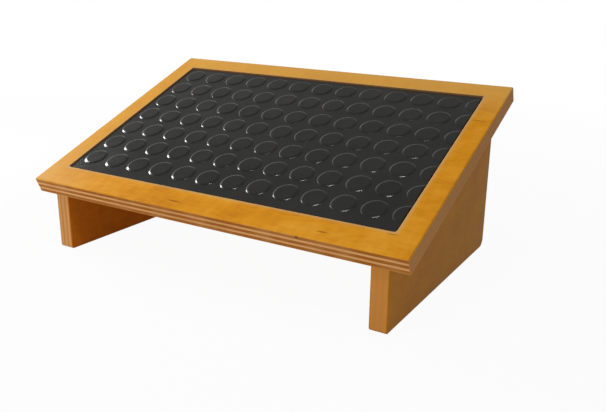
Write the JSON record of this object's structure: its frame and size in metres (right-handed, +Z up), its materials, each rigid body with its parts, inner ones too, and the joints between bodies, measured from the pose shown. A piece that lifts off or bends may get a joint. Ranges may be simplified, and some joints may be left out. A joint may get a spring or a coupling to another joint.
{
  "type": "footrest",
  "caption": "Under-desk footrest: a sloping plywood board with a studded rubber mat let into its top, on two upright plywood side panels",
  "frame": {"origin": "on the floor, under the middle of the footrest's bounding box", "axes": "-Y is the low front edge, +Y the high rear edge, +X the right side seen from the front, +Z up"},
  "size_m": [0.45, 0.2738, 0.19],
  "materials": {
    "lacquered_plywood": "birch plywood, honey-coloured lacquer, satin",
    "studded_rubber": "black moulded rubber sheet, semi-matt",
    "pad_rubber": "soft anti-slip rubber, matt",
    "zinc_steel": "zinc-plated steel",
    "beech": "turned beech, unfinished"
  },
  "bodies": {
    "root": {"top_board": "lacquered_plywood", "stud_mat": "studded_rubber", "left_panel": "lacquered_plywood", "left_front_screw": "zinc_steel", "left_middle_screw": "zinc_steel", "left_rear_screw": "zinc_steel", "left_front_dowel": "beech", "left_rear_dowel": "beech", "left_front_pad": "pad_rubber", "left_rear_pad": "pad_rubber", "right_panel": "lacquered_plywood", "right_front_screw": "zinc_steel", "right_middle_screw": "zinc_steel", "right_rear_screw": "zinc_steel", "right_front_dowel": "beech", "right_rear_dowel": "beech", "right_front_pad": "pad_rubber", "right_rear_pad": "pad_rubber"}
  },
  "joints": []
}
